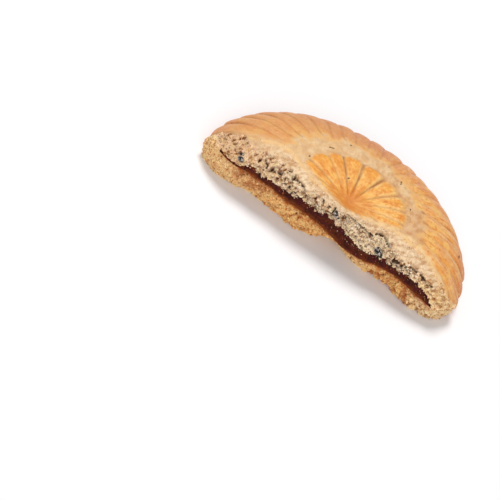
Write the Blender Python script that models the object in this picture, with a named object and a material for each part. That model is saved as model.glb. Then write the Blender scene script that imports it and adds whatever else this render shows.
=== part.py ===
"""Half of a round moulded cookie filled with date paste, broken across so that the filling shows.

Metres, +Z up. The cookie lies on its flat base at z = 0. The break runs along X and faces -Y.
Shapes are worked out about the axis of the whole disc, which stands a little behind the break,
and then moved back so that the origin is in the middle of the half's base.
"""

import math

import bmesh
import bpy

MM = 0.001

# The whole disc
RADIUS = 43.0 * MM
HEIGHT = 16.8 * MM
WIDEST_HEIGHT = 5.2 * MM
BASE_RADIUS = 40.6 * MM
DOME_POWER = 4.5
SHOULDER_POWER = 1.25
OVAL = 0.015
AXIS_TO_ORIGIN = 18.0 * MM

# Moulded flutes round the rim: they start quickly to a share of their depth, and fade at the foot
FLUTES = 39
FLUTE_DEPTH = 1.15 * MM
FLUTE_START = 23.2 * MM
FLUTE_ONSET = 3.0 * MM
FLUTE_ONSET_SHARE = 0.45
FLUTE_FOOT_SHARE = 0.35
FLUTE_CREST_BEARING = 54.8
FLUTE_POWER = 2.2
FLUTE_SAMPLES = 5

# Moulded rosette on top: the bearing of each groove between two petals, in degrees. The petals
# reach further out on the side away from the break, and the rosette dips towards its middle.
GROOVE_BEARINGS = (12, 31, 52, 74, 98, 120, 138, 164, 182, 205, 229, 253, 277, 301, 326, 350)
PETAL_RADIUS = 17.4 * MM
PETAL_SHIFT = 2.4 * MM
PETAL_RELIEF = 0.75 * MM
PETAL_POWER = 4
PETAL_ROUNDING = 0.08
PETAL_RISE_END = 0.35
PETAL_FALL_START = 0.86
ROSETTE_X = 1.2 * MM
ROSETTE_Y = -2.2 * MM
DIP_DEPTH = 1.7 * MM
DIP_RADIUS = 9.0 * MM

# Mesh rings of the disc
TOP_RINGS = 18
TOP_RING_POWER = 0.85
FOOT_RINGS = 4

# The break, as stations along X in millimetres: where it meets the base, where it stands beside
# the filling, the height where it starts to slope back, and where it meets the baked top.
BREAK_STATIONS = (
    (-44.0, -0.5, -1.0, 4.5, -0.4),
    (-40.0, -4.0, -4.8, 6.5, -0.3),
    (-35.0, -6.0, -7.0, 9.0, -0.8),
    (-29.0, -6.0, -7.4, 10.8, 0.4),
    (-24.0, -4.6, -7.2, 12.0, 2.2),
    (-20.0, -5.4, -7.1, 12.6, 1.6),
    (-15.0, -6.0, -7.1, 13.8, -2.0),
    (-9.0, -7.3, -7.4, 14.8, -5.1),
    (-3.0, -5.4, -7.3, 15.2, -6.4),
    (2.5, -1.9, -7.3, 15.4, -7.0),
    (6.5, -3.0, -7.5, 15.2, -6.8),
    (11.0, -4.9, -7.5, 14.8, -5.4),
    (16.0, -5.4, -7.3, 13.8, -2.9),
    (22.0, -5.2, -7.3, 12.6, -2.1),
    (28.0, -7.6, -8.0, 11.0, -3.0),
    (34.0, -7.8, -8.2, 8.8, -5.3),
    (39.0, -7.2, -7.4, 7.0, -6.2),
    (44.0, -0.5, -1.0, 4.5, -1.0),
)
LOWER_LAYER = 5.5 * MM
LEAST_SLOPE_RISE = 1.0 * MM
BREAK_COLUMNS = 50
BREAK_ROWS = 10
BREAK_HALF_WIDTH = 46.0 * MM
BREAK_LOWEST = -2.0 * MM
BREAK_HIGHEST = 19.0 * MM
BREAK_FRONT = -60.0 * MM

# The filling where it shows in the break, as stations along X in millimetres: height of its
# middle, thickness.
FILLING_STATIONS = (
    (-38.0, 7.9, 0.5),
    (-35.0, 7.9, 0.7),
    (-31.0, 7.8, 1.0),
    (-28.6, 8.6, 1.7),
    (-26.6, 9.2, 2.5),
    (-24.0, 8.9, 2.4),
    (-20.5, 9.0, 2.5),
    (-17.5, 8.8, 2.5),
    (-14.5, 8.9, 3.6),
    (-9.0, 9.4, 4.3),
    (-4.0, 9.0, 4.4),
    (0.0, 8.6, 4.7),
    (4.0, 7.7, 5.2),
    (7.0, 6.8, 5.6),
    (10.5, 6.2, 4.0),
    (14.5, 6.5, 3.2),
    (18.0, 7.5, 3.1),
    (22.0, 8.1, 3.5),
    (27.0, 8.3, 3.3),
    (31.0, 7.6, 3.6),
    (34.0, 6.6, 2.4),
    (36.5, 5.6, 1.0),
    (38.0, 5.2, 0.5),
)
FILLING_RADIUS = 37.4 * MM
FILLING_MID_HEIGHT = 8.4 * MM
FILLING_THICKNESS = 4.2 * MM
FILLING_EDGE = 0.7 * MM
FILLING_DROP = 1.6 * MM
FILLING_BLEND_START = -6.0 * MM
FILLING_BLEND = 14.0 * MM
FILLING_RINGS = 8
FILLING_SIDES = 54
FILLING_SETBACK = 0.3 * MM
CLEARANCE = 0.3 * MM

DOUGH_COLOUR = (0.74, 0.43, 0.16, 1.0)
DATE_COLOUR = (0.07, 0.012, 0.008, 1.0)


def clear_scene():
    for item in list(bpy.data.objects):
        bpy.data.objects.remove(item, do_unlink=True)


def smoothstep(low, high, value):
    """0 below low, 1 above high, with a smooth change between."""
    t = min(1.0, max(0.0, (value - low) / (high - low)))
    return t * t * (3.0 - 2.0 * t)


def read_stations(stations, x, column):
    """A smooth curve through one column of a list of stations, read at x in metres."""
    at = x / MM
    count = len(stations)
    index = 0
    while index < count - 2 and at > stations[index + 1][0]:
        index += 1
    before = stations[max(0, index - 1)]
    start = stations[index]
    end = stations[index + 1]
    after = stations[min(count - 1, index + 2)]
    span = end[0] - start[0]
    t = min(1.0, max(0.0, (at - start[0]) / span))
    slope_in = (end[column] - before[column]) / (end[0] - before[0]) * span
    slope_out = (after[column] - start[column]) / (after[0] - start[0]) * span
    return MM * (
        (2 * t**3 - 3 * t**2 + 1) * start[column]
        + (t**3 - 2 * t**2 + t) * slope_in
        + (3 * t**2 - 2 * t**3) * end[column]
        + (t**3 - t**2) * slope_out
    )


def dome_height(radius):
    """Height of the plain dome, before flutes and rosette."""
    share = max(0.0, 1.0 - (radius / RADIUS) ** DOME_POWER)
    return WIDEST_HEIGHT + (HEIGHT - WIDEST_HEIGHT) * share ** (1.0 / SHOULDER_POWER)


def oval(bearing):
    """How much wider than round the disc is towards a bearing."""
    return 1.0 + OVAL * math.cos(2.0 * bearing)


def disc_profile():
    """The half section of the disc as (radius, height, outward radius, outward height)."""
    points = []
    for ring in range(1, TOP_RINGS + 1):
        radius = RADIUS * math.sin(0.5 * math.pi * ring / TOP_RINGS) ** TOP_RING_POWER
        points.append((radius, dome_height(radius)))
    for ring in range(1, FOOT_RINGS + 1):
        turn = 0.5 * math.pi * ring / FOOT_RINGS
        radius = BASE_RADIUS + (RADIUS - BASE_RADIUS) * math.cos(turn)
        points.append((radius, WIDEST_HEIGHT * (1.0 - math.sin(turn))))
    profile = []
    for index, (radius, height) in enumerate(points):
        last = points[max(0, index - 1)]
        following = points[min(len(points) - 1, index + 1)]
        along = (following[0] - last[0], following[1] - last[1])
        length = math.hypot(*along)
        profile.append((radius, height, -along[1] / length, along[0] / length))
    return profile


def flute_depth(radius, height, bearing):
    """How far the surface lies below the crests of the flutes."""
    turn = (bearing - math.radians(FLUTE_CREST_BEARING)) * FLUTES / (2.0 * math.pi)
    across = 2.0 * abs(turn - math.floor(turn + 0.5))
    growth = FLUTE_ONSET_SHARE * smoothstep(FLUTE_START, FLUTE_START + FLUTE_ONSET, radius)
    growth += (1.0 - FLUTE_ONSET_SHARE) * smoothstep(FLUTE_START, RADIUS, radius)
    foot = FLUTE_FOOT_SHARE + (1.0 - FLUTE_FOOT_SHARE) * smoothstep(0.0, WIDEST_HEIGHT, height)
    return FLUTE_DEPTH * growth * foot * across**FLUTE_POWER


def petal_relief(x, y):
    """Height of the rosette's petals above the band round them, at a point of the disc."""
    dx = x - ROSETTE_X
    dy = y - ROSETTE_Y
    reach = math.hypot(dx, dy)
    first = GROOVE_BEARINGS[0]
    bearing = first + (math.degrees(math.atan2(dy, dx)) - first) % 360.0
    grooves = GROOVE_BEARINGS + (first + 360,)
    after = next(groove for groove in grooves if groove > bearing)
    before = grooves[grooves.index(after) - 1]
    across = abs(2.0 * (bearing - before) / (after - before) - 1.0)
    tip = PETAL_RADIUS + PETAL_SHIFT * math.sin(math.radians(bearing))
    tip *= 1.0 - PETAL_ROUNDING * across**PETAL_POWER
    lobe = (1.0 - across**PETAL_POWER) * smoothstep(0.0, PETAL_RISE_END * PETAL_RADIUS, reach)
    lobe *= 1.0 - smoothstep(PETAL_FALL_START * tip, tip, reach)
    dip = DIP_DEPTH * math.exp(-((reach / DIP_RADIUS) ** 2))
    return PETAL_RELIEF * lobe - dip


def grid_object(name, rows, closed_columns):
    """A mesh object from rows of points, with quads between neighbouring rows."""
    mesh = bpy.data.meshes.new(name)
    work = bmesh.new()
    rings = [[work.verts.new(point) for point in row] for row in rows]
    columns = len(rings[0])
    steps = columns if closed_columns else columns - 1
    for lower, upper in zip(rings, rings[1:]):
        for step in range(steps):
            nxt = (step + 1) % columns
            work.faces.new((lower[step], lower[nxt], upper[nxt], upper[step]))
    return name, mesh, work, rings


def finish_object(name, mesh, work):
    """The object of a closed mesh, in triangles so that each face is flat before it is cut."""
    bmesh.ops.triangulate(work, faces=work.faces)
    bmesh.ops.recalc_face_normals(work, faces=work.faces)
    work.to_mesh(mesh)
    work.free()
    mesh.shade_smooth()
    made = bpy.data.objects.new(name, mesh)
    bpy.context.scene.collection.objects.link(made)
    return made


def make_disc():
    """The whole moulded disc: flat base, rounded foot, fluted shoulder and rosette."""
    columns = FLUTES * FLUTE_SAMPLES
    first = math.radians(FLUTE_CREST_BEARING) + math.pi / FLUTES
    bearings = [first + 2.0 * math.pi * column / columns for column in range(columns)]
    rows = []
    for radius, height, out, rise in disc_profile():
        row = []
        for bearing in bearings:
            x = radius * math.cos(bearing)
            y = radius * math.sin(bearing)
            offset = -flute_depth(radius, height, bearing)
            if radius < FLUTE_START:
                offset += petal_relief(x, y)
            spread = oval(bearing) * (1.0 + offset * out / radius)
            lift = offset * rise if height > 0.0 else 0.0
            row.append((x * spread, y * spread, height + lift))
        rows.append(row)
    name, mesh, work, rings = grid_object("dough", rows, True)
    top = work.verts.new((0.0, 0.0, HEIGHT + petal_relief(0.0, 0.0)))
    columns = len(rings[0])
    for step in range(columns):
        work.faces.new((rings[0][step], rings[0][(step + 1) % columns], top))
    work.faces.new(rings[-1])
    return finish_object(name, mesh, work)


def break_y(x, z):
    """Where the break lies at x and height z."""
    at_base = read_stations(BREAK_STATIONS, x, 1)
    beside_filling = read_stations(BREAK_STATIONS, x, 2)
    step = read_stations(BREAK_STATIONS, x, 3)
    at_top = read_stations(BREAK_STATIONS, x, 4)
    y = at_base + (beside_filling - at_base) * smoothstep(0.0, LOWER_LAYER, z)
    reach = math.hypot(x, at_top) / oval(math.atan2(at_top, x))
    rim = dome_height(min(RADIUS, reach))
    slope = max(0.0, (z - step) / max(rim - step, LEAST_SLOPE_RISE))
    return y + (at_top - beside_filling) * slope


def make_break_cutter(name, setback):
    """A block in front of the break, whose back is the broken surface moved by setback."""
    rows = []
    for row in range(BREAK_ROWS + 1):
        z = BREAK_LOWEST + (BREAK_HIGHEST - BREAK_LOWEST) * row / BREAK_ROWS
        points = []
        for column in range(BREAK_COLUMNS + 1):
            x = BREAK_HALF_WIDTH * (2.0 * column / BREAK_COLUMNS - 1.0)
            points.append((x, break_y(x, z) + setback, z))
        rows.append(points)
    name, mesh, work, rings = grid_object(name, rows, False)
    corners = {}
    for side, x in (("left", -BREAK_HALF_WIDTH), ("right", BREAK_HALF_WIDTH)):
        for level, z in (("low", BREAK_LOWEST), ("high", BREAK_HIGHEST)):
            corners[side, level] = work.verts.new((x, BREAK_FRONT, z))
    front = [corners[key] for key in (("left", "low"), ("right", "low"))]
    back = [corners[key] for key in (("right", "high"), ("left", "high"))]
    work.faces.new(front + back)
    work.faces.new([front[1], front[0]] + rings[0])
    work.faces.new([back[1], back[0]] + rings[-1][::-1])
    work.faces.new([front[0], back[1]] + [ring[0] for ring in rings[::-1]])
    work.faces.new([back[0], front[1]] + [ring[-1] for ring in rings])
    cutter = finish_object(name, mesh, work)
    hide_helper(cutter)
    return cutter


def filling_section(x, y):
    """(middle height, thickness) of the layer of filling at a point of the disc."""
    beside = 1.0 - smoothstep(FILLING_BLEND_START, FILLING_BLEND_START + FILLING_BLEND, y)
    share = min(1.0, math.hypot(x, y) / FILLING_RADIUS)
    middle = FILLING_MID_HEIGHT - FILLING_DROP * share**4
    thick = FILLING_EDGE + (FILLING_THICKNESS - FILLING_EDGE) * math.sqrt(1.0 - share**3)
    middle += (read_stations(FILLING_STATIONS, x, 1) - middle) * beside
    thick += (read_stations(FILLING_STATIONS, x, 2) - thick) * beside
    return middle, thick


def make_filling(name, grow):
    """The whole disc of filling, larger by grow on every side."""
    upper = []
    lower = []
    for ring in range(1, FILLING_RINGS + 1):
        share = math.sin(0.5 * math.pi * ring / FILLING_RINGS)
        top_row = []
        bottom_row = []
        for side in range(FILLING_SIDES):
            bearing = 2.0 * math.pi * side / FILLING_SIDES
            x = FILLING_RADIUS * share * math.cos(bearing)
            y = FILLING_RADIUS * share * math.sin(bearing)
            middle, thick = filling_section(x, y)
            half = 0.5 * thick + grow
            spread = 1.0 + grow / FILLING_RADIUS
            top_row.append((x * spread, y * spread, middle + half))
            bottom_row.append((x * spread, y * spread, middle - half))
        upper.append(top_row)
        lower.append(bottom_row)
    name, mesh, work, rings = grid_object(name, upper + lower[::-1], True)
    middle, thick = filling_section(0.0, 0.0)
    half = 0.5 * thick + grow
    for ring, z in ((rings[0], middle + half), (rings[-1], middle - half)):
        tip = work.verts.new((0.0, 0.0, z))
        for step in range(FILLING_SIDES):
            work.faces.new((ring[step], ring[(step + 1) % FILLING_SIDES], tip))
    return finish_object(name, mesh, work)


def hide_helper(item):
    item.hide_render = True
    item.display_type = "WIRE"


def cut(target, cutter):
    step = target.modifiers.new("cut_" + cutter.name, "BOOLEAN")
    step.operation = "DIFFERENCE"
    step.solver = "EXACT"
    step.object = cutter


def paint(item, name, colour, roughness):
    material = bpy.data.materials.new(name)
    material.use_nodes = True
    shader = material.node_tree.nodes["Principled BSDF"]
    shader.inputs["Base Color"].default_value = colour
    shader.inputs["Roughness"].default_value = roughness
    shader.inputs["Metallic"].default_value = 0.0
    item.data.materials.append(material)


def main():
    clear_scene()
    axis = bpy.data.objects.new("disc_axis", None)
    axis.location = (0.0, -AXIS_TO_ORIGIN, 0.0)
    bpy.context.scene.collection.objects.link(axis)

    dough = make_disc()
    filling = make_filling("date_filling", 0.0)
    pocket = make_filling("pocket_cutter", CLEARANCE)
    hide_helper(pocket)
    dough_break = make_break_cutter("dough_break_cutter", 0.0)
    filling_break = make_break_cutter("filling_break_cutter", FILLING_SETBACK)
    cut(dough, pocket)
    cut(dough, dough_break)
    cut(filling, filling_break)
    paint(dough, "baked_dough", DOUGH_COLOUR, 0.5)
    paint(filling, "date_paste", DATE_COLOUR, 0.4)
    for item in (dough, filling, pocket, dough_break, filling_break):
        item.parent = axis


main()
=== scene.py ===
"""Looks of half a round moulded cookie: egg-washed crust, crumbly break and a layer of date filling.

Metres, +Z up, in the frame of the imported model: the half lies on its flat base at z = 0, and its
break runs along X and faces -Y. Shapes are worked out about the axis of the whole disc, in
millimetres, and moved to the frame at the end.
"""

import math
from collections import namedtuple

import bmesh
import bpy
import numpy as np
from mathutils import Matrix, Vector, bvhtree, kdtree

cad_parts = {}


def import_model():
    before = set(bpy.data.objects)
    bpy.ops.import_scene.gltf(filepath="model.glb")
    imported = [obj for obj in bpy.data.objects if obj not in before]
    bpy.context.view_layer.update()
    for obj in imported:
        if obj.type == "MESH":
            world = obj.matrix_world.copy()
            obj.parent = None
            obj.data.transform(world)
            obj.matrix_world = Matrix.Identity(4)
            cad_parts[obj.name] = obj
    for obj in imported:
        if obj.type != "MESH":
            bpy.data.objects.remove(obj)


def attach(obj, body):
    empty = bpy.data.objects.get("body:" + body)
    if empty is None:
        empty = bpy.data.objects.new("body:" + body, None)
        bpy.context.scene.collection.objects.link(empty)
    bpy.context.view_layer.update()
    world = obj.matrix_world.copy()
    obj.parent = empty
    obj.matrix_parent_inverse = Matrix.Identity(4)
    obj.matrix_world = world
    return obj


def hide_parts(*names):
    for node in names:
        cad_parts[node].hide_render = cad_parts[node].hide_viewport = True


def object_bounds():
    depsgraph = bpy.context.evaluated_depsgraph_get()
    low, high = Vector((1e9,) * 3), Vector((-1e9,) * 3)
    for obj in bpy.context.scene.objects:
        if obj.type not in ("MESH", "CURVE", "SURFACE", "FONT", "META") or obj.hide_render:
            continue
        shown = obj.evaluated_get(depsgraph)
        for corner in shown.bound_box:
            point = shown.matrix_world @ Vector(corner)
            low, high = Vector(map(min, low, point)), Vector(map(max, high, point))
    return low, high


MM = 0.001

# The whole disc, as modelled in the part
RADIUS = 43.0
HEIGHT = 16.8
WIDEST_HEIGHT = 5.2
BASE_RADIUS = 40.6
DOME_POWER = 4.5
SHOULDER_POWER = 1.25
OVAL = 0.015
AXIS_TO_ORIGIN = 18.0

# Moulded flutes round the rim
FLUTES = 39
FLUTE_COLUMNS = 16
FLUTE_DEPTH = 1.15
FLUTE_START = 23.2
FLUTE_CREST_BEARING = 54.8

# Moulded rosette: the bearing of each groove between two petals, in degrees. The petals reach
# further out on the side away from the break.
GROOVE_BEARINGS = (12, 31, 52, 74, 98, 120, 138, 164, 182, 205, 229, 253, 277, 301, 326, 350)
GROOVE_STRENGTHS = (0.35, 0.4, 0.6, 1.0, 1.0, 1.0, 0.35, 0.75, 0.6) + 7 * (0.5,)
PETAL_RADIUS = 17.4
PETAL_SHIFT = 2.4
PETAL_RELIEF = 0.75
ROSETTE_X = 1.2
ROSETTE_Y = -2.2
DIP_DEPTH = 1.7
DIP_RADIUS = 9.0

# The break, as stations along X: y at the base, y beside the filling, height where it starts to
# slope back, and in column BAKED_TOP its y at the baked top
BAKED_TOP = 4
BREAK_STATIONS = (
    (-44.0, -0.5, -1.0, 4.5, -0.4),
    (-40.0, -4.0, -4.8, 6.5, -0.3),
    (-35.0, -6.0, -7.0, 9.0, -0.8),
    (-29.0, -6.0, -7.4, 10.8, 0.4),
    (-24.0, -4.6, -7.2, 12.0, 2.2),
    (-20.0, -5.4, -7.1, 12.6, 1.6),
    (-15.0, -6.0, -7.1, 13.8, -2.0),
    (-9.0, -7.3, -7.4, 14.8, -5.1),
    (-3.0, -5.4, -7.3, 15.2, -6.4),
    (2.5, -1.9, -7.3, 15.4, -7.0),
    (6.5, -3.0, -7.5, 15.2, -6.8),
    (11.0, -4.9, -7.5, 14.8, -5.4),
    (16.0, -5.4, -7.3, 13.8, -2.9),
    (22.0, -5.2, -7.3, 12.6, -2.1),
    (28.0, -7.6, -8.0, 11.0, -3.0),
    (34.0, -7.8, -8.2, 8.8, -5.3),
    (39.0, -7.2, -7.4, 7.0, -6.2),
    (44.0, -0.5, -1.0, 4.5, -1.0),
)
LOWER_LAYER = 5.5

# Height where the crumbs give way to a smoother torn band, as stations along X
EDGE_STATIONS = (
    (-44.0, 19.0), (-36.0, 16.5), (-33.0, 13.4), (-27.1, 13.5), (-21.6, 14.3), (-17.6, 14.6),
    (-12.5, 14.6), (-10.4, 14.1), (-8.6, 14.9), (-5.1, 14.6), (-2.9, 14.0), (0.0, 14.8),
    (6.8, 14.8), (11.0, 14.1), (13.4, 15.3), (16.7, 14.6), (19.9, 13.6), (21.7, 12.7),
    (25.1, 12.4), (26.2, 12.6), (29.5, 12.1), (33.4, 11.3), (35.2, 10.8), (36.5, 14.0),
    (44.0, 19.0),
)

# The filling where it shows, as stations along X: height of its middle, thickness
FILLING_STATIONS = (
    (-38.0, 7.9, 0.5), (-35.0, 7.9, 0.7), (-31.0, 7.8, 1.0), (-28.6, 8.6, 1.7),
    (-26.6, 9.2, 2.5), (-24.0, 8.9, 2.4), (-20.5, 9.0, 2.5), (-17.5, 8.8, 2.5),
    (-14.5, 8.9, 3.6), (-9.0, 9.4, 4.3), (-4.0, 9.0, 4.4), (0.0, 8.6, 4.7), (4.0, 7.7, 5.2),
    (7.0, 6.8, 5.6), (10.5, 6.2, 4.0), (14.5, 6.5, 3.2), (18.0, 7.5, 3.1), (22.0, 8.1, 3.5),
    (27.0, 8.3, 3.3), (31.0, 7.6, 3.6), (34.0, 6.6, 2.4), (36.5, 5.6, 1.0), (38.0, 5.2, 0.5),
)
FILLING_RADIUS = 37.4
FILLING_MID_HEIGHT = 8.4
FILLING_THICKNESS = 4.2
FILLING_EDGE = 0.7
FILLING_DROOP = 1.6
FILLING_BLEND_START = -6.0
FILLING_BLEND = 14.0
FILLING_FRONT = -12.0
FILLING_COLUMNS = 261
FILLING_ROWS = 40
POCKET_GROWTH = 0.06

# Cracks in the break, each as how much wider than a hair it is, then (x, z) points; and single
# holes as (x, z, radius)
CRACKS = (
    (0.09, (2.9, 15.1), (4.8, 14.9), (6.8, 14.8), (8.1, 14.4), (9.6, 14.2), (11.2, 13.9),
     (12.0, 14.1)),
    (-0.06, (12.6, 15.0), (13.5, 15.3), (14.9, 15.0), (16.3, 14.5), (17.4, 14.0), (18.5, 13.6),
     (19.9, 12.5)),
    (0.04, (21.6, 11.0), (23.3, 10.8), (24.6, 11.0), (25.5, 11.2)),
    (0.0, (25.7, 12.2), (26.7, 12.2), (27.8, 12.1), (29.1, 11.7), (30.1, 11.6), (31.5, 11.1)),
    (0.0, (32.1, 10.3), (33.2, 10.6), (34.1, 10.6)),
    (0.03, (-14.4, 14.6), (-12.9, 14.7), (-11.7, 14.5), (-10.4, 14.0), (-9.5, 13.6),
     (-7.9, 13.2)),
    (0.0, (-5.4, 14.9), (-4.8, 15.0), (-4.6, 13.9)),
    (0.0, (-2.5, 11.8), (-1.0, 12.2), (-0.7, 14.2)),
    (0.0, (3.7, 9.9), (5.0, 10.6), (6.1, 11.2)),
    (0.0, (8.1, 10.0), (8.5, 11.1)),
    (-0.04, (-32.7, 10.9), (-31.2, 11.5), (-30.5, 11.8)),
    (0.02, (-24.8, 13.1), (-23.7, 12.9), (-23.3, 12.5)),
    (0.04, (-20.1, 13.3), (-18.9, 13.4), (-18.5, 13.0)),
    (0.02, (-17.9, 14.3), (-17.0, 14.8)),
    (0.0, (-16.6, 11.9), (-17.2, 11.1)),
    (0.0, (26.1, 4.8), (27.7, 4.5), (30.1, 4.1)),
)
HOLES = (
    (20.9, 10.4, 0.8), (22.0, 10.9, 1.0), (23.5, 10.8, 0.7), (11.2, 13.9, 0.8),
    (5.6, 14.8, 0.5), (8.6, 14.3, 0.6), (-6.9, 13.0, 0.65), (-0.7, 14.2, 0.6),
    (0.0, 11.0, 0.45), (2.3, 13.0, 0.35),
    (-21.8, 13.0, 0.55), (-21.0, 12.7, 0.45), (-14.9, 11.4, 0.5), (-15.3, 14.4, 0.5),
    (-17.2, 13.2, 0.5), (-19.2, 11.6, 0.45), (-23.9, 11.3, 0.45), (-26.2, 12.4, 0.4),
    (24.7, 11.6, 0.5), (26.1, 11.3, 0.4), (21.4, 4.9, 0.4), (24.7, 3.7, 0.4), (22.1, 3.3, 0.3),
    (33.8, 10.6, 0.3), (26.6, 10.6, 0.45), (19.1, 9.6, 0.55), (11.4, 8.9, 0.45),
    (-13.5, 10.6, 0.45), (-9.8, 12.1, 0.35), (-4.6, 13.9, 0.35), (-2.4, 13.6, 0.35),
    (-28.0, 6.3, 0.25), (-27.0, 7.0, 0.3), (-18.9, 4.1, 0.3), (-19.4, 6.0, 0.3),
    (-8.4, 5.7, 0.3), (-9.4, 4.8, 0.3), (23.1, 4.3, 0.4), (20.6, 2.4, 0.5), (32.2, 2.8, 0.4),
)
# Clumps of crumbs that hang over the filling, as (x, z, radius)
CLUMPS = (
    (-30.4, 9.2, 0.7), (-28.7, 10.6, 0.8), (-25.0, 10.7, 0.8), (-23.0, 10.0, 0.6),
    (-21.3, 11.1, 0.9), (-18.8, 10.6, 0.6), (-16.5, 10.9, 0.8), (-14.5, 10.9, 0.7),
    (-12.6, 10.6, 0.7), (-9.5, 11.7, 0.7), (-7.4, 11.6, 0.85), (-5.0, 11.5, 1.1),
    (-3.6, 11.4, 0.8), (-0.3, 11.6, 0.85), (2.0, 10.8, 0.7), (4.1, 11.6, 0.9),
    (5.7, 10.0, 0.6), (7.6, 9.8, 0.6), (9.9, 9.5, 0.7), (11.6, 9.3, 0.45), (13.2, 9.1, 0.5),
    (14.8, 9.1, 0.45), (17.4, 9.1, 0.4), (19.9, 9.8, 0.8), (21.7, 9.6, 0.5), (23.7, 9.8, 0.85),
    (25.5, 10.2, 0.6), (27.6, 10.3, 0.8), (28.9, 9.9, 0.5), (31.0, 9.5, 0.6), (32.7, 9.3, 0.8),
    (36.2, 6.5, 0.45), (37.2, 5.6, 0.4),
)
# Black seeds in the break: x, z, long axis, length, turn about it
SEEDS = (
    (-31.2, 11.2, (1.0, 0.2, 0.5), 1.6, 2.0),
    (-30.6, 10.5, (1.0, 0.1, -0.3), 2.6, 0.4),
    (-29.5, 10.9, (0.5, 0.2, 0.9), 1.3, 1.0),
    (0.6, 12.9, (0.8, 0.2, -0.6), 2.9, 1.3),
    (16.2, 10.5, (0.8, -0.1, -0.55), 3.7, 2.2),
)
# Scraps of seed and spice in the crust: x, y, bearing, length, width
SPECKS = (
    (-12.3, 13.4, 60, 0.7, 0.5), (-11.6, 13.7, 20, 1.3, 0.25), (-15.4, 3.9, 80, 0.8, 0.6),
    (-2.7, 5.6, 30, 0.6, 0.5), (10.5, 19.2, 100, 1.0, 0.5), (10.7, 18.1, 80, 0.8, 0.35),
    (17.0, 10.1, 110, 0.9, 0.35), (-7.8, 20.6, 10, 0.6, 0.4), (36.4, 11.6, 110, 1.2, 0.5),
)
# Orange-brown stains in the lower layer as (x, z, radius)
STAINS = (
    (-24.8, 4.4, 3.0), (-28.7, 5.7, 2.6), (-22.0, 5.8, 2.6), (20.3, 1.2, 1.6),
    (29.1, 2.1, 1.5), (30.5, 6.3, 1.1),
)

# From where to where along X the break turns from evenly crumbled, at its left end, to rough
EVEN_END = (-31.0, -22.0)

# Unevenness of the crust
LUMP_HEIGHT, SWELL_HEIGHT, STREAK_HEIGHT, DIMPLE_DEPTH = 0.14, 0.10, 0.20, 0.20
BASE_UNEVENNESS = 0.10

# Distances between the points of the meshes, and the block that cuts the break: half its width,
# its front, and its lowest and highest points
CRUST_STEP = 0.36
BASE_STEP = 1.6
BREAK_STEP = 0.215
FILLING_STEP = 0.3
CUTTER_SIDE = 46.0
CUTTER_FRONT = -60.0
CUTTER_LOW = -1.0
CUTTER_HIGH = 18.6

# Packed crumbs of the break: size and height of clods and grains, depth of what lies between
CLOD_SIZE, CLOD_HEIGHT, CLEFT_DEPTH = 2.6, 0.75, 0.60
GRAIN_SIZE, GRAIN_HEIGHT, SEAM_DEPTH, PIT_DEPTH = 0.95, 0.28, 0.34, 0.50


# ---------------------------------------------------------------- fields

def stack(*parts):
    """One array of points from arrays and numbers of their coordinates."""
    return np.stack(np.broadcast_arrays(*parts), axis=-1)


def smoothstep(low, high, value):
    t = np.clip((value - low) / (high - low), 0.0, 1.0)
    return t * t * (3.0 - 2.0 * t)


def fade(low, high, value):
    """1 below low to 0 above high, smoothly."""
    return 1.0 - smoothstep(low, high, value)


def read_stations(stations, x, column):
    """The part's smooth curve through one column of a list of stations, read at x."""
    table = np.array(stations, float)
    places, values = table[:, 0], table[:, column]
    index = np.clip(np.searchsorted(places, x) - 1, 0, len(places) - 2)
    last = np.clip(index - 1, 0, None)
    after = np.clip(index + 2, None, len(places) - 1)
    span = places[index + 1] - places[index]
    t = np.clip((x - places[index]) / span, 0.0, 1.0)
    slope_in = (values[index + 1] - values[last]) / (places[index + 1] - places[last]) * span
    slope_out = (values[after] - values[index]) / (places[after] - places[index]) * span
    return (
        (2 * t**3 - 3 * t**2 + 1) * values[index]
        + (t**3 - 2 * t**2 + t) * slope_in
        + (3 * t**2 - 2 * t**3) * values[index + 1]
        + (t**3 - t**2) * slope_out
    )


def hashed(cells, seed):
    """A number from 0 to 1 for each cell of whole numbers, always the same for a cell and seed."""
    n = cells.astype(np.int64).astype(np.uint32)
    with np.errstate(over="ignore"):
        h = n[..., 0] * np.uint32(374761393) + n[..., 1] * np.uint32(668265263)
        h = h + n[..., 2] * np.uint32(2246822519) + np.uint32((seed * 3266489917) & 0xFFFFFFFF)
        h = (h ^ (h >> np.uint32(13))) * np.uint32(1274126177)
        h = (h ^ (h >> np.uint32(15))) * np.uint32(2246822519)
    return (h ^ (h >> np.uint32(16))) / 4294967295.0


def noise(points, size, seed):
    """Smooth noise from -1 to 1 with lumps of about size."""
    at = points / size
    cell = np.floor(at)
    part = at - cell
    part = part * part * (3.0 - 2.0 * part)
    total = 0.0
    for step in np.ndindex(2, 2, 2):
        weight = np.prod(np.where(np.array(step) == 1, part, 1.0 - part), axis=-1)
        total = total + weight * hashed(cell + step, seed)
    return 2.0 * total - 1.0


def fractal(points, size, seed, octaves=3):
    """Noise from -1 to 1 of several sizes, each half the one before."""
    total, most = 0.0, 0.0
    for octave in range(octaves):
        share = 0.5**octave
        total = total + share * noise(points, size * share, seed + 17 * octave)
        most += share
    return total / most


def grains(points, size, seed):
    """For grains packed about size apart: distances to the two nearest middles, in sizes, and
    a number of the nearest grain's own."""
    at = points / size
    cell = np.floor(at)
    nearest = np.full(at.shape[:-1], 9.0)
    second = np.full(at.shape[:-1], 9.0)
    own = np.zeros(at.shape[:-1])
    for step in np.ndindex(3, 3, 3):
        here = cell + step - 1.0
        middle = here + np.stack([hashed(here, seed + k) for k in (1, 2, 3)], axis=-1)
        far = np.linalg.norm(at - middle, axis=-1)
        closer = far < nearest
        second = np.where(closer, nearest, np.minimum(second, far))
        own = np.where(closer, hashed(here, seed + 4), own)
        nearest = np.where(closer, far, nearest)
    return nearest, second, own


# ---------------------------------------------------------------- crust

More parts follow.
